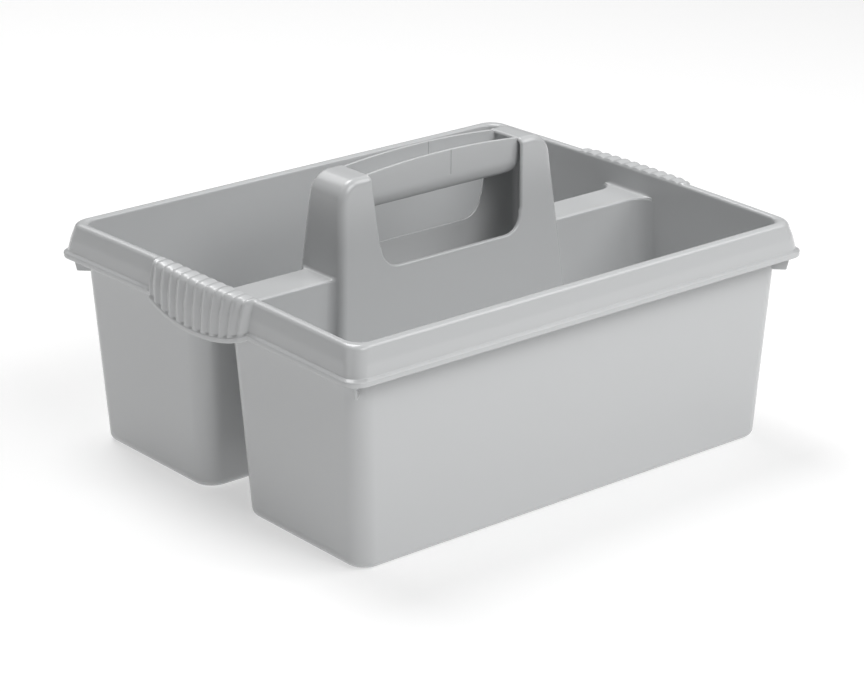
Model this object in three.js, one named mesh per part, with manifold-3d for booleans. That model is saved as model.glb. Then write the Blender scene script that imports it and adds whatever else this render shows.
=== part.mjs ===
// A one-piece moulded carry caddy: two long bays, a rolled rim with ribbed end grips, and a hollow handle tower.
// Millimetres, +Z up, X along the bays, Y across them, the floor under the bays at Z = 0.
import * as THREE from 'three';
import { mergeVertices } from 'three/addons/utils/BufferGeometryUtils.js';
import Module from 'manifold-3d';

const WALL = 2.2; // thickness of every wall
const DRAFT = 0.053; // slope of the bay walls, 3 degrees
const CLEAR = 0.3; // gap where one region is cut to fit its neighbour

// Bays
const RIM_BASE = 158.3; // height at which the inner faces meet the rolled rim
const INNER_X = 187.4; // half length between the inner faces at RIM_BASE
const INNER_Y = 154.0; // half width between the inner faces at RIM_BASE
const SPINE_TOP = 144.5; // height of the flat top of the spine
const SPINE_HALF = 15.3; // half width of that flat top
const CORNER_R = 14; // outer radius of the vertical corners
const GAP_CORNER_R = 16; // outer radius of the corners beside the gap between the bays
const FLOOR_R = 5; // outer radius along the floor edge
const SPINE_UNDER = SPINE_TOP - WALL;

// Rim
const LIP_OUT = 12.6; // the lip's reach outside the inner face
const LIP_Z = 136.9; // bottom of the lip
const END_BOW = 1.6; // rise of the rim at the middle of each short end

// Ribbed end grips
const GRIP_HALF = 56; // half width of the grip panel
const RIB_PITCH = 9.8;
const GROOVES = 11;
const GROOVE_DEPTH = 1.1;
const PANEL_PROUD = 3.0; // step of the panel in front of the plain skirt
const PANEL_BULGE = 3.6; // further bulge in the middle
const PANEL_DROP = 11; // how far the apron hangs below the lip in the middle

// Handle tower
const SILL_Z = 146; // bottom of the hand opening
const TOWER_TOP = 211.4;
const TOWER_X = 97.9; // half length at the sill
const TOWER_X_DRAFT = 0.088;
const TOWER_Y = 23.8; // half width at the sill
const TOWER_Y_DRAFT = 0.087;
const SHOULDER_R = 16; // radius of the upper corners in front elevation
const EDGE_R = 5.5; // radius of the other edges
const WINDOW_X = 61.6; // half length of the hand opening at the sill
const WINDOW_X_DRAFT = 0.075;
const WINDOW_R = 14;
const PANEL_SPLIT = 46; // the posts meet the flat panels here

// Grip between the posts
const GRIP_X = 66;
const GRIP_Y = 13;
const GRIP_ROUND_Z = 199.4; // centre height of the half-round underside
const GRIP_END_Z = 211.5;
const GRIP_ARCH = 3.3; // rise of the top edges at mid length
const GRIP_END_R = 12;
const MARK_X = 6; // a shallow witness line on each side
const MARK_WIDTH = 1.6;
const MARK_DEPTH = 0.4;

// Corner ribs under the lip
const RIB_THICK = 2;
const RIB_BOTTOM = 125;
const RIB_TOP = 142;

const wasm = await Module();
wasm.setup();

const base = (half) => half + WALL - DRAFT * RIM_BASE; // outer half size at Z = 0
const OUTER_X0 = base(INNER_X);
const OUTER_Y0 = base(INNER_Y);
const gapHalf = (z) => SPINE_HALF - WALL + DRAFT * (SPINE_TOP - z);
const towerX = (z) => TOWER_X - TOWER_X_DRAFT * (z - SILL_Z);
const towerY = (z) => TOWER_Y - TOWER_Y_DRAFT * (z - SILL_Z);
const windowX = (z) => WINDOW_X + WINDOW_X_DRAFT * (z - SILL_Z);

// ---- shared geometry helpers ----

function toSolid(geometry) {
  const bare = geometry.clone();
  bare.deleteAttribute('normal');
  bare.deleteAttribute('uv');
  const merged = mergeVertices(bare, 1e-4);
  return new wasm.Manifold(
    new wasm.Mesh({
      numProp: 3,
      vertProperties: merged.attributes.position.array,
      triVerts: new Uint32Array(merged.index.array),
    }),
  );
}

function toGeometry(solid) {
  const mesh = solid.getMesh();
  const geometry = new THREE.BufferGeometry();
  geometry.setAttribute('position', new THREE.BufferAttribute(mesh.vertProperties, 3));
  geometry.setIndex(new THREE.BufferAttribute(mesh.triVerts, 1));
  geometry.computeVertexNormals();
  return geometry;
}

// Points of an arc from angle a0 to a1 (radians), both ends included.
function arc(cx, cy, r, a0, a1, steps) {
  return Array.from({ length: steps + 1 }, (_, i) => {
    const a = a0 + ((a1 - a0) * i) / steps;
    return [cx + r * Math.cos(a), cy + r * Math.sin(a)];
  });
}

// Counter-clockwise rounded rectangle as [x, y] points; low and high are the radii at y0 and at y1.
function roundedRectangle(x0, x1, y0, y1, low, high = low, steps = 5) {
  const q = Math.PI / 2;
  return [
    ...arc(x1 - low, y0 + low, low, -q, 0, steps),
    ...arc(x1 - high, y1 - high, high, 0, q, steps),
    ...arc(x0 + high, y1 - high, high, q, 2 * q, steps),
    ...arc(x0 + low, y0 + low, low, 2 * q, 3 * q, steps),
  ];
}

// Closed solid through rings of equal point count, counter-clockwise seen from above, listed from bottom to top.
function loft(rings) {
  const count = rings[0].length;
  const positions = rings.flat(2);
  const index = [];
  for (let k = 0; k + 1 < rings.length; k++) {
    for (let i = 0; i < count; i++) {
      const j = (i + 1) % count;
      const a = k * count;
      const b = a + count;
      index.push(a + i, a + j, b + j, a + i, b + j, b + i);
    }
  }
  const top = (rings.length - 1) * count;
  for (let i = 1; i + 1 < count; i++) {
    index.push(0, i + 1, i, top, top + i, top + i + 1);
  }
  return toSolid(indexed(positions, index));
}

// Closed ring-shaped solid: section k of the loop is the ring rings[k], and the last joins the first.
function loopLoft(rings) {
  const count = rings[0].length;
  const index = [];
  rings.forEach((_, k) => {
    const a = k * count;
    const b = ((k + 1) % rings.length) * count;
    for (let i = 0; i < count; i++) {
      const j = (i + 1) % count;
      index.push(a + i, a + j, b + j, a + i, b + j, b + i);
    }
  });
  return toSolid(indexed(rings.flat(2), index));
}

function indexed(positions, index) {
  const geometry = new THREE.BufferGeometry();
  geometry.setAttribute('position', new THREE.Float32BufferAttribute(positions, 3));
  geometry.setIndex(index);
  return geometry;
}

function extruded(points, depth) {
  const shape = new THREE.Shape(points.map(([x, y]) => new THREE.Vector2(x, y)));
  const geometry = new THREE.ExtrudeGeometry(shape, { depth, bevelEnabled: false });
  geometry.translate(0, 0, -depth / 2);
  return geometry;
}

// The other half of a symmetric outline, in closing order.
function mirrored(points) {
  return points.map(([x, z]) => [-x, z]).reverse();
}

// Prism of an X-Z outline, centred across Y.
function frontPrism(points, depth) {
  const geometry = extruded(points, depth);
  geometry.rotateX(Math.PI / 2);
  return toSolid(geometry);
}

// Prism of a Y-Z outline, centred along X.
function sidePrism(points, depth) {
  const geometry = extruded(points, depth);
  geometry.rotateX(Math.PI / 2);
  geometry.rotateZ(Math.PI / 2);
  return toSolid(geometry);
}

function block(x0, x1, y0, y1, z0, z1) {
  const geometry = new THREE.BoxGeometry(x1 - x0, y1 - y0, z1 - z0);
  geometry.translate((x0 + x1) / 2, (y0 + y1) / 2, (z0 + z1) / 2);
  return toSolid(geometry);
}

// ---- bays ----

// Drafted tub volume on one side (+1 far, -1 near); inset moves every face inwards.
function bayVolume(side, inset, z0, z1, floorR) {
  const ring = (z, shrink) => {
    const x = OUTER_X0 + DRAFT * z - inset - shrink;
    const near = gapHalf(z) + inset + shrink;
    const far = OUTER_Y0 + DRAFT * z - inset - shrink;
    const [y0, y1] = side > 0 ? [near, far] : [-far, -near];
    const radii = [GAP_CORNER_R, CORNER_R].map((r) => r - inset - shrink * 0.4);
    if (side < 0) radii.reverse();
    return roundedRectangle(-x, x, y0, y1, ...radii).map(([px, py]) => [px, py, z]);
  };
  const rings = arc(0, 0, floorR, 0, Math.PI / 2, 4).map(([c, s]) => ring(z0 + floorR - c, floorR - s));
  return loft([...rings, ring(z1, 0)]);
}

function bay(side) {
  const outer = bayVolume(side, 0, 0, SPINE_UNDER, FLOOR_R);
  const inner = bayVolume(side, WALL, WALL, SPINE_UNDER + 1, FLOOR_R - WALL);
  return outer.subtract(inner).subtract(towerVolume(-CLEAR));
}

// ---- rim ----

const innerFace = (z) => -DRAFT * (RIM_BASE - z);

// Half section of collar and rim as [reach outside the inner face, height], clockwise from the inner foot.
// bulge pushes the skirt out and drop lowers its hem, for the end grips.
function rimSection(bulge = 0, drop = 0) {
  const crown = [
    [0, RIM_BASE],
    [0.5, RIM_BASE + 1.5],
    [1.5, RIM_BASE + 2.4],
    [2.7, RIM_BASE + 2.6],
    [4.1 + 0.1 * bulge, RIM_BASE + 2.1 + 0.1 * bulge],
    [5.2 + 0.4 * bulge, RIM_BASE + 0.7 + 0.1 * bulge],
  ];
  const skirt = [
    [6.4 + 0.7 * bulge, 155],
    [8.3 + bulge, 148.6],
    [LIP_OUT - 2.2 + bulge, LIP_Z + 5.4 - drop],
    [LIP_OUT - 0.9 + bulge, LIP_Z + 4.6 - drop],
    [LIP_OUT + bulge, LIP_Z + 2 - drop],
    [LIP_OUT - 0.5 + bulge, LIP_Z - drop],
  ];
  const inside = [
    [LIP_OUT - 3.2 + bulge, LIP_Z - drop],
    [LIP_OUT - 4.6 + bulge, LIP_Z + 5.4 - drop],
    [5.9 + bulge, 148.4],
    [4.3 + 0.7 * bulge, 154.4],
    [3.3 + 0.3 * bulge, 156.2],
    [WALL + innerFace(155.2), 155.2],
  ];
  const foot = [
    [WALL + innerFace(SPINE_UNDER), SPINE_UNDER],
    [innerFace(SPINE_UNDER), SPINE_UNDER],
  ];
  return [...foot.slice(1), ...crown, ...skirt, ...inside, foot[0]];
}

// Height of a section point after the bow of the short ends; the foot of the collar stays flat.
function bowed(y, z) {
  if (z === SPINE_UNDER) return z;
  return z + END_BOW * Math.max(0, 1 - (y / INNER_Y) ** 2);
}

// Rounded rectangle with extra points along the short ends, where the rim bows.
function rimPath(x, y, r) {
  const steps = 7;
  const outline = roundedRectangle(-x, x, -y, y, r, r, steps);
  const quarter = steps + 1;
  const stops = [-2, -1, 0, 1, 2].map((k) => k * GRIP_HALF);
  return [
    ...outline.slice(0, quarter),
    ...stops.map((stop) => [x, stop]),
    ...outline.slice(quarter, 3 * quarter),
    ...stops.map((stop) => [-x, -stop]),
    ...outline.slice(3 * quarter),
  ];
}

function rimRing() {
  const rings = rimSection().reverse().map(([reach, z]) => {
    const path = rimPath(INNER_X + reach, INNER_Y + reach, CORNER_R - WALL);
    return path.map(([x, y]) => [x, y, bowed(y, z)]);
  });
  return loopLoft(rings);
}

// The rim with the two end-grip lengths cut out falls into a near and a far half.
function rimHalf(side) {
  const keep = side > 0 ? [GRIP_HALF, 200] : [-200, -GRIP_HALF];
  return rimRing().intersect(block(-220, 220, keep[0], keep[1], 100, 180));
}

// ---- ribbed end grips ----

// 0 on a ridge, 1 at the bottom of a groove.
function grooveDepth(y) {
  const last = ((GROOVES - 1) / 2) * RIB_PITCH;
  if (Math.abs(y) > last + RIB_PITCH / 2) return 0;
  const phase = Math.abs(y / RIB_PITCH - Math.round(y / RIB_PITCH));
  return Math.max(0, 1 - phase / 0.28) ** 1.5;
}

// Rises from 0 at the ends of the panel to 1 over a short blend.
function panelRise(y) {
  const t = Math.min(1, (GRIP_HALF - Math.abs(y)) / 6);
  return t * t * (3 - 2 * t);
}

function endGrip(side) {
  const last = ((GROOVES - 1) / 2) * RIB_PITCH;
  const stations = [-GRIP_HALF, -last - 5, -last - 3];
  for (let g = 0; g < GROOVES; g++) {
    const y = -last + g * RIB_PITCH;
    stations.push(y - 2.6, y - 1.1, y, y + 1.1, y + 2.6);
    if (g + 1 < GROOVES) stations.push(y + RIB_PITCH / 2);
  }
  stations.push(last + 3, last + 5, GRIP_HALF);
  const unique = [...new Set(stations.map((y) => Math.round(y * 100) / 100))].sort((a, b) => a - b);
  const sections = unique.map((y) => {
    const rise = panelRise(y);
    const round = 1 - (y / GRIP_HALF) ** 2;
    const bulge = rise * (PANEL_PROUD + PANEL_BULGE * round) - GROOVE_DEPTH * grooveDepth(y) * rise;
    const section = rimSection(bulge, PANEL_DROP * Math.sqrt(Math.max(0, round)) * round ** 0.25);
    return section.map(([reach, z]) => [side * (INNER_X + reach), y, bowed(y, z)]);
  });
  return loftAlongY(sections);
}

// Solid through upright X-Z sections listed along +Y; the two end sections may be concave.
function loftAlongY(sections) {
  const flat = sections[0].map(([x, , z]) => new THREE.Vector2(x, z));
  const rings = THREE.ShapeUtils.area(flat) > 0 ? sections.map((s) => [...s].reverse()) : sections;
  const count = rings[0].length;
  const index = [];
  for (let k = 0; k + 1 < rings.length; k++) {
    for (let i = 0; i < count; i++) {
      const j = (i + 1) % count;
      const a = k * count;
      const b = a + count;
      index.push(a + i, a + j, b + j, a + i, b + j, b + i);
    }
  }
  const outline = rings[0].map(([x, , z]) => new THREE.Vector2(x, z));
  const last = (rings.length - 1) * count;
  for (const corners of THREE.ShapeUtils.triangulateShape([...outline], [])) {
    const anticlockwise = THREE.ShapeUtils.area(corners.map((i) => outline[i])) > 0;
    const [a, b, c] = anticlockwise ? corners : [...corners].reverse();
    index.push(a, b, c, last + a, last + c, last + b);
  }
  return toSolid(indexed(rings.flat(2), index));
}

// ---- handle tower ----

// Solid tower volume; inset moves every face inwards, and a negative inset outwards.
function towerVolume(inset) {
  const z0 = inset > 0 ? -1 : 0;
  const top = TOWER_TOP - inset;
  const edge = EDGE_R - Math.max(0, inset);
  const ring = (z) =>
    roundedRectangle(
      -towerX(z) + inset,
      towerX(z) - inset,
      -towerY(z) + inset,
      towerY(z) - inset,
      edge,
      4,
    ).map(([x, y]) => [x, y, z]);
  const body = loft([ring(z0), ring(top + 1)]);
  const shoulder = SHOULDER_R - inset;
  const front = crowned(towerX, inset, shoulder, z0 - 5, top);
  const end = crowned(towerY, inset, edge, z0 - 5, top);
  return body.intersect(frontPrism(front, 120)).intersect(sidePrism(end, 300));
}

// Outline that clears the drafted sides given by half(z) and rounds the two top corners with radius r.
function crowned(half, inset, r, low, top) {
  const x = half(top - r) - inset;
  const right = [
    [half(0) + 5, low],
    [half(80) - inset + 2, 80],
    ...arc(x - r, top - r, r, 0, Math.PI / 2, 8),
  ];
  return [...right, ...mirrored(right)];
}

// The valley between the bays, open below and at both ends.
function valley() {
  const points = [
    [-gapHalf(-5), -5],
    [gapHalf(-5), -5],
    [gapHalf(SPINE_UNDER), SPINE_UNDER],
    [-gapHalf(SPINE_UNDER), SPINE_UNDER],
  ];
  return sidePrism(points, 420);
}

function handWindow() {
  const high = TOWER_TOP + 20;
  const points = [
    ...arc(WINDOW_X - WINDOW_R, SILL_Z + WINDOW_R, WINDOW_R, -Math.PI / 2, 0, 6),
    [windowX(high), high],
  ];
  return frontPrism([...points, ...mirrored(points)], 100);
}

function towerShell() {
  return towerVolume(0).subtract(towerVolume(WALL)).subtract(valley()).subtract(handWindow());
}

function post(side) {
  const [x0, x1] = side > 0 ? [PANEL_SPLIT, 130] : [-130, -PANEL_SPLIT];
  return towerShell().intersect(block(x0, x1, -50, 50, -1, 230));
}

function panel(side) {
  const [y0, y1] = side > 0 ? [5, 50] : [-50, -5];
  return towerShell().intersect(block(-PANEL_SPLIT, PANEL_SPLIT, y0, y1, -1, SILL_Z + 1));
}

// ---- spine ----

function spine(side) {
  const end = INNER_X + innerFace(SPINE_UNDER) - CLEAR;
  const [x0, x1] = side > 0 ? [80, end] : [-end, -80];
  const flare = SPINE_HALF + CORNER_R + 2;
  let plate = block(x0, x1, -flare, flare, SPINE_UNDER, SPINE_TOP);
  for (const each of [-1, 1]) {
    plate = plate.subtract(bayVolume(each, WALL, WALL, SPINE_TOP + 1, FLOOR_R - WALL));
  }
  return plate.subtract(towerVolume(-CLEAR));
}

// ---- grip trough ----

// U-shaped bar volume: half-round underside, arched top, rounded lower ends.
function gripVolume(inset) {
  const y = GRIP_Y - inset;
  const section = [[y + 0.4, 225], [-y - 0.4, 225], ...arc(0, GRIP_ROUND_Z, y, Math.PI, 2 * Math.PI, 12)];
  const x = GRIP_X - inset;
  const low = GRIP_ROUND_Z - y;
  const r = GRIP_END_R - inset / 2;
  const front = arc(x - r, low + r, r, -Math.PI / 2, 0, 6);
  const steps = 8;
  for (let i = 0; i <= steps; i++) {
    const s = 1 - (2 * i) / steps;
    const rise = inset > 0 ? 12 : GRIP_ARCH * (1 - s * s);
    front.push([x * s, GRIP_END_Z + rise]);
  }
  front.push(...arc(-x + r, low + r, r, Math.PI, 1.5 * Math.PI, 6));
  return frontPrism(front, 60).intersect(sidePrism(section, 200));
}

function grip() {
  let bar = gripVolume(0).subtract(gripVolume(WALL));
  const depth = GRIP_Y + 0.2 - MARK_DEPTH;
  for (const [y0, y1] of [[-20, -depth], [depth, 20]]) {
    const mark = block(MARK_X - MARK_WIDTH / 2, MARK_X + MARK_WIDTH / 2, y0, y1, 196, 230);
    bar = bar.subtract(mark);
  }
  return bar;
}

// ---- corner ribs ----

// Upright plate on the corner's diagonal, between the wall and the inside of the skirt.
function cornerRib(sx, sy) {
  const diagonal = Math.SQRT2;
  const wallAt = (z) => CORNER_R + diagonal * innerFace(z) + CLEAR;
  const skirtAt = (reach) => CORNER_R - WALL + diagonal * reach - CLEAR;
  const points = [
    [wallAt(RIB_BOTTOM), RIB_BOTTOM],
    [skirtAt(8), RIB_BOTTOM],
    [skirtAt(LIP_OUT - 3.3), RIB_BOTTOM + 6],
    [skirtAt(LIP_OUT - 3.2), LIP_Z],
    [skirtAt(LIP_OUT - 4.6), RIB_TOP],
    [wallAt(RIB_TOP), RIB_TOP],
  ];
  const geometry = extruded(points, RIB_THICK);
  geometry.rotateX(Math.PI / 2);
  geometry.rotateZ(Math.atan2(sy, sx));
  geometry.translate(sx * (INNER_X + WALL - CORNER_R), sy * (INNER_Y + WALL - CORNER_R), 0);
  return toSolid(geometry);
}

// ---- assembly ----

const material = (name, color, roughness) => {
  const made = new THREE.MeshStandardMaterial({ color, roughness, metalness: 0 });
  made.name = name;
  return made;
};
const plastic = material('grey_polypropylene', 0xb4b6b8, 0.42);
const gripPlastic = material('grey_polypropylene_grip', 0xb0b2b4, 0.46);

const group = new THREE.Group();
function add(name, solid, look = plastic) {
  const mesh = new THREE.Mesh(toGeometry(solid), look);
  mesh.name = name;
  group.add(mesh);
}

add('near_bay', bay(-1));
add('far_bay', bay(1));
add('rim_near', rimHalf(-1));
add('rim_far', rimHalf(1));
add('end_grip_left', endGrip(-1), gripPlastic);
add('end_grip_right', endGrip(1), gripPlastic);
add('spine_left', spine(-1));
add('spine_right', spine(1));
add('post_left', post(-1));
add('post_right', post(1));
add('panel_near', panel(-1));
add('panel_far', panel(1));
add('handle_grip', grip(), gripPlastic);
add('corner_rib_near_left', cornerRib(-1, -1));
add('corner_rib_near_right', cornerRib(1, -1));
add('corner_rib_far_left', cornerRib(-1, 1));
add('corner_rib_far_right', cornerRib(1, 1));

export default group;
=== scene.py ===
"""A moulded two-bay carry caddy with a hollow handle tower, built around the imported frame.

Lengths are in millimetres until make_piece() scales them. X runs along the bays, Y across
them and Z up.
"""
import math

import bmesh
import bpy
import numpy as np
from mathutils import Matrix, Vector


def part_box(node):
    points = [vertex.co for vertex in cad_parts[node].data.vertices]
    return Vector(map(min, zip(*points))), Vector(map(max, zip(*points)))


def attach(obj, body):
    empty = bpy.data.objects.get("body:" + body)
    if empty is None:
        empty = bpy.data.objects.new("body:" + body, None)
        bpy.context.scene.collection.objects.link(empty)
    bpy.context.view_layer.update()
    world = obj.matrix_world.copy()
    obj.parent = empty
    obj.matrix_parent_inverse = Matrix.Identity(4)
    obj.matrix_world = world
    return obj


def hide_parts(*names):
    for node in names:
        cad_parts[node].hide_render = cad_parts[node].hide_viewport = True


MM = 0.001

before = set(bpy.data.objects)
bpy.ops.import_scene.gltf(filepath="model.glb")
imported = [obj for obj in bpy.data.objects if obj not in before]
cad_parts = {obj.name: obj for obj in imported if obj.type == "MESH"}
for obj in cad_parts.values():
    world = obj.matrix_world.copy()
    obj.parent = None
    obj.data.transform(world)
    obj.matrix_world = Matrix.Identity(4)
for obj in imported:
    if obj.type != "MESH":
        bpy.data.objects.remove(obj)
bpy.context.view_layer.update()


def span(node):
    """Lowest and highest corner of a CAD node in millimetres."""
    low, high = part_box(node)
    return np.array(low) / MM, np.array(high) / MM


# ---- driving dimensions ----

# walls, rim, spine and floors
WALL = 2.2
DRAFT = 0.053
LIP_OUT = 12.6
INNER_X = span("rim_far")[1][0] - LIP_OUT
INNER_Y = span("rim_far")[1][1] - LIP_OUT
RIM_BASE = 158.3  # underside of the crown
CROWN_TOP = 160.9
BEAD_ROOT = 141.2  # where the skirt turns out into the bead
BEAD_TOP = 139.4
LIP_Z = 135.9
SECTION_STEP = 2  # longest straight step in the rim's section
SPINE_TOP = span("spine_left")[1][2]
SPINE_UNDER = SPINE_TOP - WALL
SPINE_HALF = 15.3
SPINE_EDGE_R = 2.0
CORNER_R = 14
GAP_CORNER_R = 16
FLOOR_R = 5
PAN_TOP = 6.0
WALL_MIDDLE = 75
END_BOW = 1.6  # rise of the rim in the middle of a short end

# end grips
GRIP_HALF = span("end_grip_left")[1][1]
GRIP_BLEND = 5  # length over which an end grip rises out of the rim
RIB_PITCH = 9.8
LAST_GROOVE = 49.0
RIDGE_HEIGHT = 1.5
RIDGE_POWER = 1.4  # narrows the grooves between the ridges
PANEL_PROUD = 3.4
PANEL_BULGE = 3.0
PANEL_FAN = 0.05  # how much the ribs draw together towards the hem
FAN_FADE = 8
CROWN_SLOPE = 0.15
PANEL_DROP = 10.4  # how far the hem hangs below the rim's
GRIP_STATIONS = 241

# handle tower and the fillets at its foot
SILL_Z = 146
LEAN_START = 147  # heights between which the posts' rings tilt to follow their slope
LEAN_END = 192
TOWER_TOP = span("post_left")[1][2]
TOWER_X = 97.9
TOWER_X_DRAFT = 0.088
TOWER_Y = 23.8
TOWER_Y_DRAFT = 0.087
SHOULDER_R = 16
EDGE_R = 6.0
TOP_EDGE_R = 5.0
COVE_R = 6.0
BASE_COVE_R = 2.0
END_COVE_R = 2.6
END_COVE_THIN = 0.4
END_COVE_HALF = 25
END_COVE_FADE = 6
FLARE_START = 140  # where the spine plate's straight edges end
FLARE_TURN = 75  # degrees of the gap's corner that its edges follow
EMBED = 1.0  # how far a fillet or lip is sunk into the wall behind it
WINDOW_X = 61.6
WINDOW_X_DRAFT = 0.075
WINDOW_R = 14
LIP_R = 2.0
PANEL_SPLIT = 46
FOOT_FLAT = 5  # flat wall that belongs to the tower's foot

# grip trough and its witness lines
GRIP_X = span("handle_grip")[1][0]
GRIP_REACH = GRIP_X + 4.5  # the ends run on under the roofs of the posts
GRIP_Y = 13.0
GRIP_FLARE = 0.4
GRIP_ROUND_Z = 196.4  # centre of the half-round keel
GRIP_END_Z = 211.5
GRIP_ARCH = 3.3  # rise of the lip from the ends to the middle
GRIP_END_R = 12
GRIP_WALL = 1.9
GRIP_CORNER_R = 2.5
MARK_X = 6
MARK_HALF = 0.8
MARK_DEPTH = 0.45
LIP_MARK_DEPTH = 0.2
MARK_CLEAR = 1.5  # no other station of the trough lies this close to a witness line
ROOT_INSET = 0.2

# corner ribs
RIB_THICK = 2
RIB_BOTTOM = 125
RIB_TOP = 142
RIB_REACH = 6.8
RIB_EDGE = 0.35  # rounding of the ribs' free edges

# outside of the bays at the floor, without its rounding
OUTER_X0 = INNER_X + WALL - DRAFT * RIM_BASE
OUTER_Y0 = INNER_Y + WALL - DRAFT * RIM_BASE


def gap_half(z):
    """Half the width of the gap between the bays at height z."""
    return SPINE_HALF - WALL + DRAFT * (SPINE_TOP - z)


def tower_x(z):
    return TOWER_X - TOWER_X_DRAFT * (z - SILL_Z)


def tower_y(z):
    return TOWER_Y - TOWER_Y_DRAFT * (z - SILL_Z)


def window_x(z):
    return WINDOW_X + WINDOW_X_DRAFT * (z - SILL_Z)


def inner_face(z):
    """How far outside the rim's inner edge a bay's inner wall lies at height z."""
    return -DRAFT * (RIM_BASE - z)


# ---- shared geometry helpers ----

CORNER_STEPS = 6
WELD = 0.003
SHARP_ANGLE = 32
NORMAL_WEIGHT = 60


def arc(cx, cy, r, a0, a1, steps):
    """Points of an arc from angle a0 to a1 in degrees, both ends included."""
    angles = np.radians(np.linspace(a0, a1, steps + 1))
    return [(cx + r * math.cos(a), cy + r * math.sin(a)) for a in angles]


def rounded_polyline(points):
    """A polyline of (u, v, radius) with each corner rounded by its radius."""
    made = []
    for i, (u, v, r) in enumerate(points):
        if r == 0 or i in (0, len(points) - 1):
            made.append((u, v))
            continue
        p = np.array((u, v))
        back = np.array(points[i - 1][:2]) - p
        ahead = np.array(points[i + 1][:2]) - p
        reach = [np.linalg.norm(back), np.linalg.norm(ahead)]
        back, ahead = back / reach[0], ahead / reach[1]
        half = math.acos(np.clip(back @ ahead, -1, 1)) / 2
        cut = min(r / math.tan(half), 0.49 * min(reach))
        radius = cut * math.tan(half)
        middle = back + ahead
        centre = p + middle / np.linalg.norm(middle) * math.hypot(cut, radius)
        a, b = p + back * cut - centre, p + ahead * cut - centre
        swing = math.acos(np.clip(a @ b / (radius * radius), -1, 1))
        for t in np.linspace(0, 1, CORNER_STEPS + 1):
            spoke = math.sin((1 - t) * swing) * a + math.sin(t * swing) * b
            made.append(tuple(centre + spoke / math.sin(swing)))
    return made


def eased(t):
    """Smooth rise from 0 to 1 as t goes from 0 to 1, and 1 beyond."""
    t = min(1.0, t)
    return t * t * (3 - 2 * t)


def loft(rings, caps=True):
    """Vertices and faces of a solid through closed rings of equal point count."""
    count = len(rings[0])
    verts = [tuple(p) for ring in rings for p in ring]
    faces = []
    for k in range(len(rings) - 1):
        for i in range(count):
            j = (i + 1) % count
            a, b = k * count, (k + 1) * count
            faces.append((a + i, a + j, b + j, b + i))
    if caps:
        faces.append(tuple(reversed(range(count))))
        last = (len(rings) - 1) * count
        faces.append(tuple(range(last, last + count)))
    return verts, faces


def tidy(solid):
    """The same solid with doubled points welded and its faces turned outwards."""
    bm = bmesh.new()
    made = [bm.verts.new(p) for p in solid[0]]
    for face in solid[1]:
        try:
            bm.faces.new([made[i] for i in face])
        except ValueError:
            pass
    bmesh.ops.remove_doubles(bm, verts=bm.verts, dist=WELD)
    bmesh.ops.dissolve_degenerate(bm, dist=WELD * 2 / 3, edges=bm.edges)
    bmesh.ops.recalc_face_normals(bm, faces=bm.faces)
    bm.verts.index_update()
    verts = [tuple(v.co) for v in bm.verts]
    faces = [tuple(v.index for v in f.verts) for f in bm.faces]
    bm.free()
    return verts, faces


def make_piece(name, solids, material, node):
    """One smooth-shaded object made of closed solids, which stands for a CAD node."""
    verts, faces = [], []
    for solid in solids:
        own_verts, own_faces = tidy(solid)
        start = len(verts)
        verts += [tuple(c * MM for c in p) for p in own_verts]
        faces += [tuple(start + i for i in f) for f in own_faces]
    mesh = bpy.data.meshes.new(name)
    mesh.from_pydata(verts, [], faces)
    mesh.validate()
    mesh.polygons.foreach_set("use_smooth", [True] * len(mesh.polygons))
    mesh.set_sharp_from_angle(angle=math.radians(SHARP_ANGLE))
    mesh.materials.append(material)
    piece = bpy.data.objects.new(name, mesh)
    bpy.context.scene.collection.objects.link(piece)
    normals = piece.modifiers.new("weighted", "WEIGHTED_NORMAL")
    normals.keep_sharp = True
    normals.weight = NORMAL_WEIGHT
    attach(piece, "root")
    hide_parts(node)


def edge_bar(path, outward):
    """Rounded edge of a wall along the centres of its arc, given the wall's outward normals."""
    section = arc(0, 0, LIP_R, 0, 90, CORNER_STEPS)
    section += [(LIP_R - WALL, LIP_R), (LIP_R - WALL, -EMBED), (LIP_R - 0.4, -EMBED)]
    path, outward = np.array(path, float), np.array(outward, float)
    rings = []
    for i, (p, normal) in enumerate(zip(path, outward)):
        along = path[min(i + 1, len(path) - 1)] - path[max(i - 1, 0)]
        over = np.cross(along / np.linalg.norm(along), normal)
        rings.append([p + normal * out + over * up for out, up in section])
    return loft(rings)


# ---- bays: one outline for floor, walls, gap side and the tower's foot ----

ARC_STEPS = 10


def s_curve(face_x, face_y, wall_y, inset):
    """Tower edge and cove as (x, y, radius), and the angle in degrees at which the arcs meet."""
    edge = EDGE_R + inset - WALL
    cove = COVE_R - inset + WALL
    ex, ey = face_x - edge, face_y - edge
    cy = wall_y + cove
    drop = max(0.0, cy - ey)
    cx = ex + math.sqrt((edge + cove) ** 2 - drop**2)
    return (ex, ey, edge), (cx, cy, cove), math.degrees(math.asin(drop / (edge + cove)))


def half_outline(z, inset):
    """Half (x >= 0) of the far bay's outline: flat panel, tower foot, and the other walls."""
    face_y = tower_y(z) - WALL + inset
    face_x = tower_x(z) - WALL + inset
    wall_y = gap_half(z) + inset
    edge, cove, tilt = s_curve(face_x, face_y, wall_y, inset)
    end_x = OUTER_X0 + DRAFT * z - inset
    long_y = OUTER_Y0 + DRAFT * z - inset
    rg, rc = GAP_CORNER_R - inset, CORNER_R - inset
    panel = [(0, face_y), (PANEL_SPLIT, face_y)]
    foot = arc(*edge, 90, tilt, ARC_STEPS) + arc(*cove, 180 + tilt, 270, ARC_STEPS)
    foot.append((foot[-1][0] + FOOT_FLAT, wall_y))
    rest = arc(end_x - rg, wall_y + rg, rg, 270, 360, ARC_STEPS)
    rest += arc(end_x - rc, long_y - rc, rc, 0, 90, ARC_STEPS)
    return panel, foot, rest + [(0, long_y)]


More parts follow.
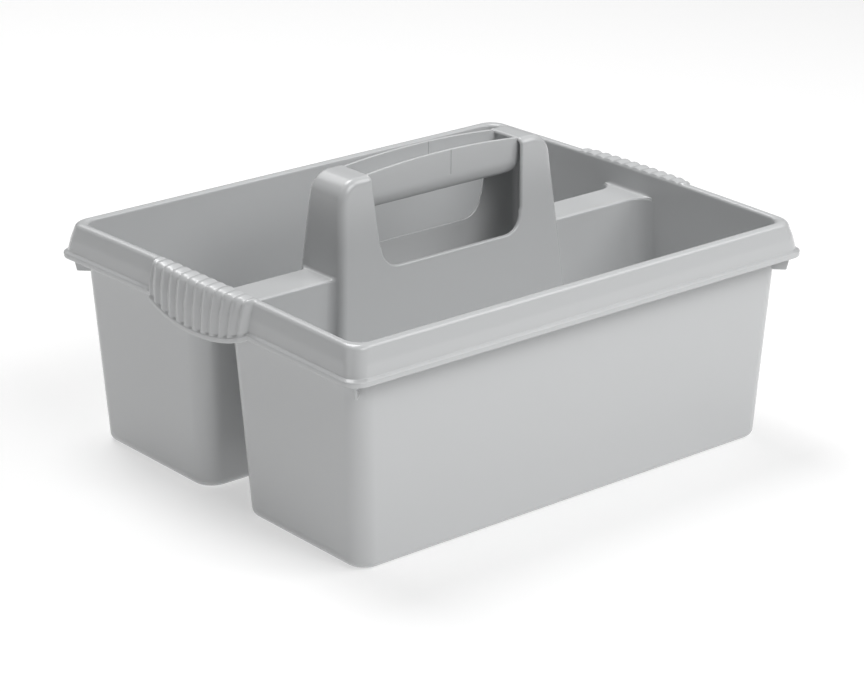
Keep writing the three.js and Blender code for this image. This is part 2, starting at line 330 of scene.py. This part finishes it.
def full_outline(z, inset):
    panel, foot, rest = half_outline(z, inset)
    half = panel + foot + rest
    return half + [(-x, y) for x, y in reversed(half[1:-1])]


def floor_edge(r):
    """(inset, height) of a quarter-round floor edge from the floor up."""
    turns = np.radians(np.linspace(0, 90, CORNER_STEPS + 1))
    return [(r - r * math.sin(t), r - r * math.cos(t)) for t in turns]


def pan(side):
    """Floor of a bay with the rounded foot of every wall around it."""
    outer = floor_edge(FLOOR_R) + [(0, PAN_TOP)]
    inner = [(WALL + inset, WALL + z) for inset, z in floor_edge(FLOOR_R - WALL)]
    levels = outer + (inner + [(WALL, PAN_TOP)])[::-1]
    return loft([[(x, side * y, z) for x, y in full_outline(z, inset)] for inset, z in levels])


def wall_strip(side, outline, levels):
    """Wall whose outer and inner faces follow outline(z, inset) at each level."""
    rings = []
    for z in levels:
        section = outline(z, 0) + outline(z, WALL)[::-1]
        rings.append([(x, side * y, z) for x, y in section])
    return loft(rings)


def bay_walls(side):
    """Every wall of a bay except the tower's foot."""

    def outline(z, inset):
        _, foot, rest = half_outline(z, inset)
        half = [foot[-1]] + rest
        return half + [(-x, y) for x, y in reversed(half[:-1])]

    return wall_strip(side, outline, [PAN_TOP, WALL_MIDDLE, SPINE_UNDER])


def tower_foot(side_x, side):
    """The corner of the tower below the spine, from the flat panel to the gap wall."""

    def outline(z, inset):
        panel, foot, _ = half_outline(z, inset)
        return [(side_x * x, y) for x, y in [panel[1]] + foot]

    return wall_strip(side, outline, np.linspace(PAN_TOP, SPINE_UNDER, 9))


def flat_panel(side):
    """The flat tower wall below the hand opening."""

    def outline(z, inset):
        y = half_outline(z, inset)[0][0][1]
        return [(-PANEL_SPLIT, y), (PANEL_SPLIT, y)]

    return wall_strip(side, outline, [PAN_TOP, SPINE_UNDER, SILL_Z - LIP_R])


# ---- handle tower above the spine ----


def window_edge():
    """Centre line of the hand opening's rounded edge as (x, z), from the panel to the top."""
    low = SILL_Z - LIP_R
    high = TOWER_TOP - TOP_EDGE_R
    bend = SILL_Z + WINDOW_R
    corner = arc(WINDOW_X - WINDOW_R, bend, WINDOW_R + LIP_R, 270, 360, 10)
    side = [(window_x(z) + LIP_R, z) for z in np.linspace(bend, high, 22)[1:]]
    return [(PANEL_SPLIT, low)] + corner + side


def front_profile(inset):
    """Front elevation of a post as rows of (x, z, nx, nz, edge radius).

    There is one row for each point of window_edge(), and one more at the foot.
    """
    slope = math.atan(TOWER_X_DRAFT)
    centre_z = TOWER_TOP - SHOULDER_R
    centre_x = tower_x(centre_z) - SHOULDER_R / math.cos(slope)
    radius = SHOULDER_R - inset
    rows = []
    bend = SILL_Z + WINDOW_R
    levels = [SPINE_UNDER, SILL_Z - LIP_R, *np.linspace(LEAN_START, bend, 10)]
    levels += [*np.linspace(bend, LEAN_END, 7)[1:]]
    for z in levels:
        lean = slope * min(1, max(0, (z - LEAN_START) / (LEAN_END - LEAN_START)))
        rows.append((tower_x(z) - inset, z, math.cos(lean), math.sin(lean), EDGE_R - inset))
    for t in np.linspace(0, 1, 11):
        a = slope + (math.pi / 2 - slope) * t
        edge = EDGE_R + (TOP_EDGE_R - EDGE_R) * t - inset
        x, z = centre_x + radius * math.cos(a), centre_z + radius * math.sin(a)
        rows.append((x, z, math.cos(a), math.sin(a), edge))
    end = window_edge()[-1][0]
    for x in np.linspace(centre_x, end, 6)[1:]:
        rows.append((x, TOWER_TOP - inset, 0, 1, TOP_EDGE_R - inset))
    return rows


def post_row(profile, border, inset):
    """Far half of a post's section, from the opening's edge round the corner to mid width."""
    x, z, nx, nz, edge = profile
    bx, bz = border
    points = [(bx, tower_y(bz) - inset, bz)]
    for a in np.radians(np.linspace(90, 0, 9)):
        back = edge * (1 - math.cos(a))
        px, pz = x - nx * back, z - nz * back
        points.append((px, tower_y(pz) - inset - edge * (1 - math.sin(a)), pz))
    return points + [(x, 0, z)]


def post_shell(side_x):
    """Near, end and far wall of a post with its closed top, open towards the hand opening."""
    edge = [(PANEL_SPLIT, SPINE_UNDER)] + window_edge()
    rings = []
    for outer, inner, border in zip(front_profile(0), front_profile(WALL), edge, strict=True):
        ring = []
        for profile, inset in ((outer, 0), (inner, WALL)):
            half = post_row(profile, border, inset)
            chain = half + [(x, -y, z) for x, y, z in reversed(half[:-1])]
            ring += chain if inset == 0 else chain[::-1]
        rings.append([(side_x * x, y, z) for x, y, z in ring])
    return loft(rings)


def window_lip(side_x):
    """The rounded edge of a post's opening: along the sill, up, over the top and down again."""
    path = [(x, tower_y(z) - LIP_R, z) for x, z in window_edge()]
    outward = [(0, 1, 0)] * len(path)
    end_x, _, high = path[-1]
    bend = TOP_EDGE_R - LIP_R
    for y, z in arc(0, 0, 1, 0, 90, CORNER_STEPS)[1:]:
        path.append((end_x, tower_y(high) - TOP_EDGE_R + bend * y, high + bend * z))
        outward.append((0, y, z))
    path += [(x, -y, z) for x, y, z in reversed(path)]
    outward += [(x, -y, z) for x, y, z in reversed(outward)]
    verts, faces = edge_bar(path, outward)
    return [(side_x * x, y, z) for x, y, z in verts], faces


def sill_lip(side):
    """The rounded top edge of the flat panel."""
    z = SILL_Z - LIP_R
    path = [(x, tower_y(z) - LIP_R, z) for x in (-PANEL_SPLIT, 0, PANEL_SPLIT)]
    verts, faces = edge_bar(path, [(0, 1, 0)] * 3)
    return [(x, side * y, z) for x, y, z in verts], faces


def base_cove(side_x):
    """Concave fillet where the spine runs into the end of the tower, over both of its edges."""
    edge_y = gap_half(SPINE_UNDER) + WALL
    rows = [((edge_y, SPINE_UNDER), (1, 0), COVE_R)]
    for a in np.radians(np.linspace(0, 90, 9)[1:]):
        out, up = math.cos(a), math.sin(a)
        y = edge_y - SPINE_EDGE_R * (1 - out)
        z = SPINE_TOP - SPINE_EDGE_R * (1 - up)
        rows.append(((y, z), (out, up), COVE_R + (BASE_COVE_R - COVE_R) * up * up))
    rows += [((y, SPINE_TOP), (0, 1), BASE_COVE_R) for y in (edge_y / 2, 0)]
    half = [cove_ring(*row) for row in rows]
    far = [[(side_x * x, y, z) for x, y, z in ring] for ring in half]
    near = [[(x, -y, z) for x, y, z in ring] for ring in far[-2::-1]]
    return loft(far + near)


def cove_ring(point, normal, r):
    """Section of the base cove at a point (y, z) of the spine's edge with its outward normal."""
    y, z = point
    ny, nz = normal
    flat = (tower_y(SPINE_UNDER) - EDGE_R - y) / ny if ny > 0.05 else math.inf
    drop = max(0.0, r - flat)
    centre = math.sqrt((r + EDGE_R) ** 2 - drop**2) - EDGE_R
    tilt = math.degrees(math.asin(drop / (r + EDGE_R)))
    sunk = -2 * EMBED
    points = arc(centre, r, r, 270, 180 + tilt, 8)
    points += [(sunk, points[-1][1]), (sunk, -1.5 * EMBED), (centre, -1.5 * EMBED)]
    return [(tower_x(z + nz * up) + x, y + ny * up, z + nz * up) for x, up in points]


# ---- spine ----


def spine_plate(side_x):
    """The strip between the bays, with rounded edges that flare out at the end wall."""
    wall_y = gap_half(SPINE_UNDER) + WALL
    end_x = OUTER_X0 + DRAFT * SPINE_UNDER - WALL
    r = GAP_CORNER_R - WALL
    edge = [(0, SPINE_UNDER)]
    edge += arc(SPINE_EDGE_R, SPINE_TOP - SPINE_EDGE_R, SPINE_EDGE_R, 172, 90, CORNER_STEPS)
    halves = []
    for x in (tower_x(SPINE_TOP) - 1.5 * EMBED, FLARE_START):
        halves.append([(x, wall_y - shift, z) for shift, z in edge])
    turns = np.radians(270 + np.linspace(0, FLARE_TURN, 13))
    for a, least_x in [(a, 0) for a in turns] + [(turns[-1], end_x + 0.4)]:
        half = []
        for shift, z in edge:
            x = max(least_x, end_x - r + (r + shift) * math.cos(a))
            half.append((x, wall_y + r + (r + shift) * math.sin(a), z))
        halves.append(half)
    rings = []
    for half in halves:
        ring = half + [(x, -y, z) for x, y, z in reversed(half)]
        rings.append([(side_x * x, y, z) for x, y, z in ring])
    return loft(rings)


def end_cove(side_x):
    """Concave fillet between the spine and the end wall."""
    end_x = INNER_X + inner_face(SPINE_TOP)
    rings = []
    back, under = end_x + EMBED, SPINE_TOP - EMBED
    for y in np.linspace(-END_COVE_HALF, END_COVE_HALF, 25):
        full = eased((END_COVE_HALF - abs(y)) / END_COVE_FADE)
        r = END_COVE_THIN + (END_COVE_R - END_COVE_THIN) * full
        points = arc(end_x - r, SPINE_TOP + r, r, 270, 360, 8)
        points += [(back, SPINE_TOP + r), (back, under), (end_x - r, under)]
        rings.append([(side_x * x, y, z) for x, z in points])
    return loft(rings)


# ---- rim and end grips ----


def rim_section():
    """Closed section of collar, crown, skirt and bead.

    Its rows are (reach, height, bow, bulge, drop, ridge): the last four say how much of the
    short end's bow and of the end grip's bulge, drop and ridges each point takes.
    """
    foot = SPINE_UNDER
    outside = [
        (inner_face(foot), foot, 0),
        (0.05, CROWN_TOP, 2.5),
        (5.9, CROWN_TOP, 4),
        (9.1, 149.8, 30),
        (10.7, BEAD_ROOT, 0.8),
        (12.9, BEAD_TOP, 1.3),
        (12.7, LIP_Z, 1.2),
        (11.0, LIP_Z, 0),
    ]
    inside = [
        (11.0, LIP_Z, 0),
        (9.8, LIP_Z, 0.6),
        (8.9, 140.6, 2),
        (7.1, 149.4, 20),
        (4.9, RIM_BASE, 1.6),
        (2.2, RIM_BASE, 0.8),
        (WALL + inner_face(foot), foot, 0),
    ]
    rows = []
    crown = False
    for reach, z in divided(rounded_polyline(outside), SECTION_STEP):
        crown = crown or (reach > 0.6 and z > 150)
        bow = rim_bow(z) if reach < 0.1 else 1
        if crown:
            out = panel_out(z) * ramp(reach, 1.4, 3.6)
            rib = ramp(reach, 0.5, 2.5) * ramp(z, BEAD_TOP + 0.5, BEAD_ROOT - 0.5)
            rows.append((reach, z, bow, out, panel_depth(z), rib))
        else:
            rows.append((reach, z, bow, 0, 0, 0))
    for reach, z in divided(rounded_polyline(inside), SECTION_STEP)[1:]:
        if reach < 2.3:
            rows.append((reach, z, rim_bow(z), 0, 0, 0))
        else:
            rows.append((reach, z, 1, panel_out(z) * ramp(reach, 2.4, 4.6), panel_depth(z), 0))
    return rows


def ramp(value, low, high):
    """0 up to low, 1 from high on, and straight between them."""
    return float(np.interp(value, (low, high), (0, 1)))


def rim_bow(z):
    return min(1, (z - SPINE_UNDER) / (RIM_BASE - SPINE_UNDER))


def panel_depth(z):
    """How far down the grip's panel a point of the skirt lies: 0 at the crown, 1 at the hem."""
    return 1 - ramp(z, BEAD_ROOT, 157.5)


def panel_out(z):
    """Share of the panel's bulge at height z: fullest at mid height and drawn in at the hem."""
    heights = (BEAD_TOP, BEAD_ROOT, 145, 150, 155, CROWN_TOP)
    return float(np.interp(z, heights, (0.75, 0.9, 1.0, 1.05, 1.04, 1.0)))


def divided(points, longest):
    """The polyline with its long segments split into equal parts."""
    made = [points[0]]
    for (u0, v0), (u1, v1) in zip(points, points[1:]):
        parts = max(1, math.ceil(math.hypot(u1 - u0, v1 - v0) / longest))
        for t in np.linspace(0, 1, parts + 1)[1:]:
            made.append((u0 + (u1 - u0) * t, v0 + (v1 - v0) * t))
    return made


def end_bow(y):
    return END_BOW * max(0.0, 1 - (y / INNER_Y) ** 2)


def rim_half(side):
    """Half of the rim: from one end grip round two corners and a long side to the other."""
    r = CORNER_R - WALL
    short = np.linspace(GRIP_HALF, INNER_Y - r, 9)[:-1]
    stations = [(INNER_X, y, 1, 0) for y in short]
    stations += [(x, y, 1, 1) for x, y in arc(INNER_X - r, INNER_Y - r, r, 0, 90, 12)]
    stations += [(-x, y, -dx, dy) for x, y, dx, dy in reversed(stations)]
    rings = []
    for x, y, dx, dy in stations:
        ring = []
        for reach, z, bow, _, _, _ in rim_section():
            py = y + dy * reach
            ring.append((x + dx * reach, side * py, z + bow * end_bow(py)))
        rings.append(ring)
    return loft(rings)


def ridge(y):
    """Height of the grip's ribs across the panel: rounded ridges between narrow grooves."""
    if abs(y) > LAST_GROOVE + RIB_PITCH / 2:
        return 1.0
    phase = y / RIB_PITCH - round(y / RIB_PITCH)
    return abs(math.sin(math.pi * phase)) ** RIDGE_POWER


def end_grip(side_x):
    """The ribbed, bulging length of the rim in the middle of a short end."""
    section = rim_section()
    flat = np.array([row[:2] for row in section])
    along = np.roll(flat, -1, axis=0) - np.roll(flat, 1, axis=0)
    normals = np.stack([-along[:, 1], along[:, 0]], axis=1)
    normals /= np.linalg.norm(normals, axis=1)[:, None]
    rings = []
    for y in np.linspace(-GRIP_HALF, GRIP_HALF, GRIP_STATIONS):
        rise = eased((GRIP_HALF - abs(y)) / GRIP_BLEND)
        round_ = max(0.0, 1 - (y / GRIP_HALF) ** 2)
        bulge = rise * (PANEL_PROUD + PANEL_BULGE * round_)
        drop = PANEL_DROP * round_**0.75
        height = RIDGE_HEIGHT * rise * ridge(y)
        fan = y * PANEL_FAN * min(1.0, (GRIP_HALF - abs(y)) / FAN_FADE)
        ring = []
        for (reach, z, bow, out, deep, rib), (nu, nz) in zip(section, normals):
            u = reach + bulge * out + height * rib * nu
            v = z - drop * deep - CROWN_SLOPE * bulge * out + height * rib * nz
            ring.append((side_x * (INNER_X + u), y - fan * deep, v + bow * end_bow(y)))
        rings.append(ring)
    return loft(rings)


def corner_rib(sx, sy):
    """Upright plate on a corner's diagonal under the lip."""

    def inner(z):
        return CORNER_R + math.sqrt(2) * inner_face(z) - 0.4

    def outer(reach):
        return CORNER_R - WALL + math.sqrt(2) * reach - 0.2

    points = [
        (inner(RIB_BOTTOM), RIB_BOTTOM, 0),
        (outer(RIB_REACH), RIB_BOTTOM, 1),
        (outer(LIP_OUT - 4.9), RIB_BOTTOM + 6, 0),
        (outer(LIP_OUT - 4.2), LIP_Z + 0.3, 0),
        (outer(LIP_OUT - 5.0), RIB_TOP, 0),
        (inner(RIB_TOP), RIB_TOP, 0),
    ]
    points = rounded_polyline(points)
    turn = math.atan2(sy, sx)
    along, across = (math.cos(turn), math.sin(turn)), (-math.sin(turn), math.cos(turn))
    corner = (sx * (INNER_X + WALL - CORNER_R), sy * (INNER_Y + WALL - CORNER_R))
    rings = []
    for offset, shrink in ((-1, RIB_EDGE), (-0.82, 0), (0.82, 0), (1, RIB_EDGE)):
        shift = offset * RIB_THICK / 2
        ring = []
        for reach, z in points:
            reach -= shrink if reach > outer(6) else 0
            z += shrink if z < RIB_BOTTOM + 1 else 0
            x = corner[0] + along[0] * reach + across[0] * shift
            y = corner[1] + along[1] * reach + across[1] * shift
            ring.append((x, y, z))
        rings.append(ring)
    return loft(rings)


# ---- grip trough ----


def trough_ring(half_x, half_y, height, mark=0.0):
    """Closed ring of the trough at level height(x), with witness lines as deep as mark."""
    r = min(GRIP_CORNER_R, half_y * 0.98)
    reach = half_x - r
    cuts = [MARK_X + k * MARK_HALF for k in (-1, -0.5, 0.5, 1)]
    stations = sorted([*np.linspace(-reach, reach, 13)[1:-1], *cuts])
    stations = [x for x in stations if x in cuts or abs(x - MARK_X) > MARK_CLEAR]
    outline = arc(-reach, -half_y + r, r, 180, 270, CORNER_STEPS)
    outline += [(x, -half_y + (mark if x in cuts[1:3] else 0)) for x in stations]
    outline += arc(reach, -half_y + r, r, 270, 360, CORNER_STEPS)
    outline += [(x, -y) for x, y in reversed(outline)]
    return [(x, y, height(x)) for x, y in outline]


def trough_side(inset):
    """Rings of one face of the trough from the keel up to just below the lip."""
    half_y, keel = GRIP_Y - inset, GRIP_ROUND_Z - GRIP_Y + inset
    end_r = GRIP_END_R - inset / 2
    rings = []
    for a in np.radians(np.linspace(90, 0, 12)):
        z = GRIP_ROUND_Z - half_y * math.sin(a)
        rise = min(1.0, (z - keel) / end_r)
        half_x = GRIP_REACH - inset - end_r * (1 - math.sqrt(max(0, 1 - (1 - rise) ** 2)))
        rings.append(trough_ring(half_x, half_y * math.cos(a), lambda x, z=z: z))
    depth = MARK_DEPTH if inset == 0 else -MARK_DEPTH
    for t in (0.04, 0.5, 1.0):
        flare = GRIP_FLARE * t / 2

        def height(x, t=t):
            return GRIP_ROUND_Z + t * (trough_top(x) - GRIP_WALL / 2 - GRIP_ROUND_Z)

        rings.append(trough_ring(GRIP_REACH - inset, half_y + flare, height, depth))
    return rings


def trough_top(x):
    return GRIP_END_Z + GRIP_ARCH * (1 - (x / GRIP_X) ** 2)


def trough():
    """The U-shaped grip with a rounded lip all round its open top."""
    lip = []
    r = GRIP_WALL / 2
    for a in np.radians(np.linspace(0, 180, 9)[1:-1]):
        inset = r * (1 - math.cos(a))
        up = r * math.sin(a)
        lip.append(
            trough_ring(
                GRIP_REACH - inset,
                GRIP_Y + GRIP_FLARE / 2 - inset,
                lambda x, up=up: trough_top(x) - r + up,
                LIP_MARK_DEPTH if inset < r else -LIP_MARK_DEPTH,
            )
        )
    return loft(trough_side(0) + lip + trough_side(GRIP_WALL)[::-1], caps=False)


def grip_root(side_x):
    """The web that joins an end wall of the trough to the roof of its post."""
    x0, x1 = GRIP_REACH - GRIP_WALL + ROOT_INSET, GRIP_REACH - ROOT_INSET
    half_y = GRIP_Y - 3
    outline = [(x0, -half_y), (x0, half_y), (x1, half_y), (x1, -half_y)]
    levels = (GRIP_ROUND_Z, TOWER_TOP - WALL / 2)
    return loft([[(side_x * x, y, z) for x, y in outline] for z in levels])


# ---- materials ----

LIGHT_GREY = (0.542, 0.550, 0.555)
DARK_GREY = (0.528, 0.536, 0.541)
SHELL_ROUGHNESS = (0.18, 0.22)
GRIP_ROUGHNESS = (0.20, 0.25)
PLASTIC_IOR = 1.49
TONE_SCALE = 3
GLOSS_SCALE = 6
GRAIN_SCALE = 120
FLOOR_GREY = 0.52
FLOOR_GLOW = 0.5


def moulded_plastic(name, roughness):
    """Semi-gloss moulded plastic with faint tone drift, fine grain and slightly uneven gloss."""
    material = bpy.data.materials.new(name)
    material.use_nodes = True
    nodes, links = material.node_tree.nodes, material.node_tree.links
    shader = nodes["Principled BSDF"]
    shader.inputs["IOR"].default_value = PLASTIC_IOR
    place = nodes.new("ShaderNodeTexCoord").outputs["Object"]

    def noise(scale, detail=0):
        node = nodes.new("ShaderNodeTexNoise")
        node.inputs["Scale"].default_value = scale
        node.inputs["Detail"].default_value = detail
        links.new(place, node.inputs["Vector"])
        return node.outputs["Fac"]

    tone = nodes.new("ShaderNodeValToRGB")
    stops = zip(tone.color_ramp.elements, (0.3, 0.7), (DARK_GREY, LIGHT_GREY))
    for element, position, grey in stops:
        element.position = position
        element.color = (*grey, 1)
    links.new(noise(TONE_SCALE), tone.inputs["Fac"])
    links.new(tone.outputs["Color"], shader.inputs["Base Color"])

    rough = nodes.new("ShaderNodeMapRange")
    rough.inputs["To Min"].default_value = roughness[0]
    rough.inputs["To Max"].default_value = roughness[1]
    links.new(noise(GLOSS_SCALE), rough.inputs["Value"])
    links.new(rough.outputs["Result"], shader.inputs["Roughness"])

    grain = nodes.new("ShaderNodeBump")
    grain.inputs["Strength"].default_value = 0.15
    grain.inputs["Distance"].default_value = 0.0002
    links.new(noise(GRAIN_SCALE, 1), grain.inputs["Height"])
    links.new(grain.outputs["Normal"], shader.inputs["Normal"])
    return material


def floor_material():
    material = bpy.data.materials.new("pale_floor")
    material.use_nodes = True
    shader = material.node_tree.nodes["Principled BSDF"]
    shader.inputs["Base Color"].default_value = (FLOOR_GREY, FLOOR_GREY, FLOOR_GREY, 1)
    shader.inputs["Roughness"].default_value = 0.9
    shader.inputs["Specular IOR Level"].default_value = 0.1
    shader.inputs["Emission Color"].default_value = (1, 1, 1, 1)
    shader.inputs["Emission Strength"].default_value = FLOOR_GLOW
    return material


# ---- camera, floor and light, in metres, degrees and watts ----

CAMERA_AZIMUTH = -39.508
CAMERA_ELEVATION = 20.984
CAMERA_ROLL = -0.070
CAMERA_DISTANCE = 2.0330
CAMERA_TARGET = (-0.00032, -0.00048, 0.06828)
CAMERA_LENS = 120.35

FLOOR_HALF = 8.0
FLOOR_DROP = 0.0004
WORLD_LIGHT = 0.02
LIGHTS = {  # name: (azimuth from the front, elevation, watts)
    "front": (0, 42, 24),
    "front_right": (45, 42, 18),
    "back": (180, 68, 34),
    "back_low": (180, 42, 8),
    "left": (-85, 15, 4),
}
LIGHT_TARGET = (0, 0, 0.1)
LIGHT_DISTANCE = 2.3
LIGHT_SIZE = 1.3


def direction(azimuth, elevation):
    """Unit vector from the object towards an azimuth from the front and an elevation."""
    a, e = math.radians(azimuth), math.radians(elevation)
    return Vector((math.sin(a) * math.cos(e), -math.cos(a) * math.cos(e), math.sin(e)))


def make_camera():
    a, r = math.radians(CAMERA_AZIMUTH), math.radians(CAMERA_ROLL)
    back = direction(CAMERA_AZIMUTH, CAMERA_ELEVATION)
    right = Vector((math.cos(a), math.sin(a), 0))
    up = back.cross(right)
    turn = Matrix.Rotation(r, 3, back)
    right, up = turn @ right, turn @ up
    data = bpy.data.cameras.new("camera")
    data.lens = CAMERA_LENS
    data.clip_start, data.clip_end = 0.1, 50
    camera = bpy.data.objects.new("camera", data)
    bpy.context.scene.collection.objects.link(camera)
    spot = Vector(CAMERA_TARGET) + back * CAMERA_DISTANCE
    rows = [(right[k], up[k], back[k], spot[k]) for k in range(3)]
    camera.matrix_world = Matrix([*rows, (0, 0, 0, 1)])
    bpy.context.scene.camera = camera


def make_floor():
    mesh = bpy.data.meshes.new("floor")
    corners = [(x * FLOOR_HALF, y * FLOOR_HALF, 0) for x, y in ((-1, -1), (1, -1), (1, 1), (-1, 1))]
    mesh.from_pydata(corners, [], [(0, 1, 2, 3)])
    mesh.materials.append(floor_material())
    floor = bpy.data.objects.new("floor", mesh)
    bpy.context.scene.collection.objects.link(floor)
    floor.location.z = -FLOOR_DROP


def make_lights():
    for name, (azimuth, elevation, watts) in LIGHTS.items():
        towards = direction(azimuth, elevation)
        data = bpy.data.lights.new(name, "AREA")
        data.shape, data.size = "DISK", LIGHT_SIZE
        data.energy = watts
        light = bpy.data.objects.new(name, data)
        light.location = Vector(LIGHT_TARGET) + towards * LIGHT_DISTANCE
        light.rotation_mode = "QUATERNION"
        light.rotation_quaternion = (-towards).to_track_quat("-Z", "Y")
        bpy.context.scene.collection.objects.link(light)
    world = bpy.data.worlds.new("studio")
    world.use_nodes = True
    background = world.node_tree.nodes["Background"]
    background.inputs["Color"].default_value = (1, 1, 1, 1)
    background.inputs["Strength"].default_value = WORLD_LIGHT
    bpy.context.scene.world = world
    bpy.context.scene.view_settings.view_transform = "Standard"


# ---- assembly ----

make_camera()
make_floor()
make_lights()

shell_plastic = moulded_plastic("grey_polypropylene", SHELL_ROUGHNESS)
grip_plastic = moulded_plastic("grey_polypropylene_grip", GRIP_ROUGHNESS)


def shell_piece(name, solids, node):
    make_piece(name, solids, shell_plastic, node)


for word, side in (("near", -1), ("far", 1)):
    shell_piece(f"{word}_bay_shell", [pan(side), bay_walls(side)], f"{word}_bay")
    shell_piece(f"{word}_rim", [rim_half(side)], f"rim_{word}")
    shell_piece(f"{word}_panel", [flat_panel(side), sill_lip(side)], f"panel_{word}")

for word, side in (("left", -1), ("right", 1)):
    feet = [tower_foot(side, -1), tower_foot(side, 1)]
    post = [post_shell(side), *feet, window_lip(side), base_cove(side)]
    shell_piece(f"{word}_post", post, f"post_{word}")
    shell_piece(f"{word}_spine", [spine_plate(side), end_cove(side)], f"spine_{word}")
    make_piece(f"{word}_end_grip", [end_grip(side)], grip_plastic, f"end_grip_{word}")
    for depth, end in (("near", -1), ("far", 1)):
        shell_piece(f"{depth}_{word}_rib", [corner_rib(side, end)], f"corner_rib_{depth}_{word}")

grip = [trough(), grip_root(-1), grip_root(1)]
make_piece("grip_trough", grip, grip_plastic, "handle_grip")
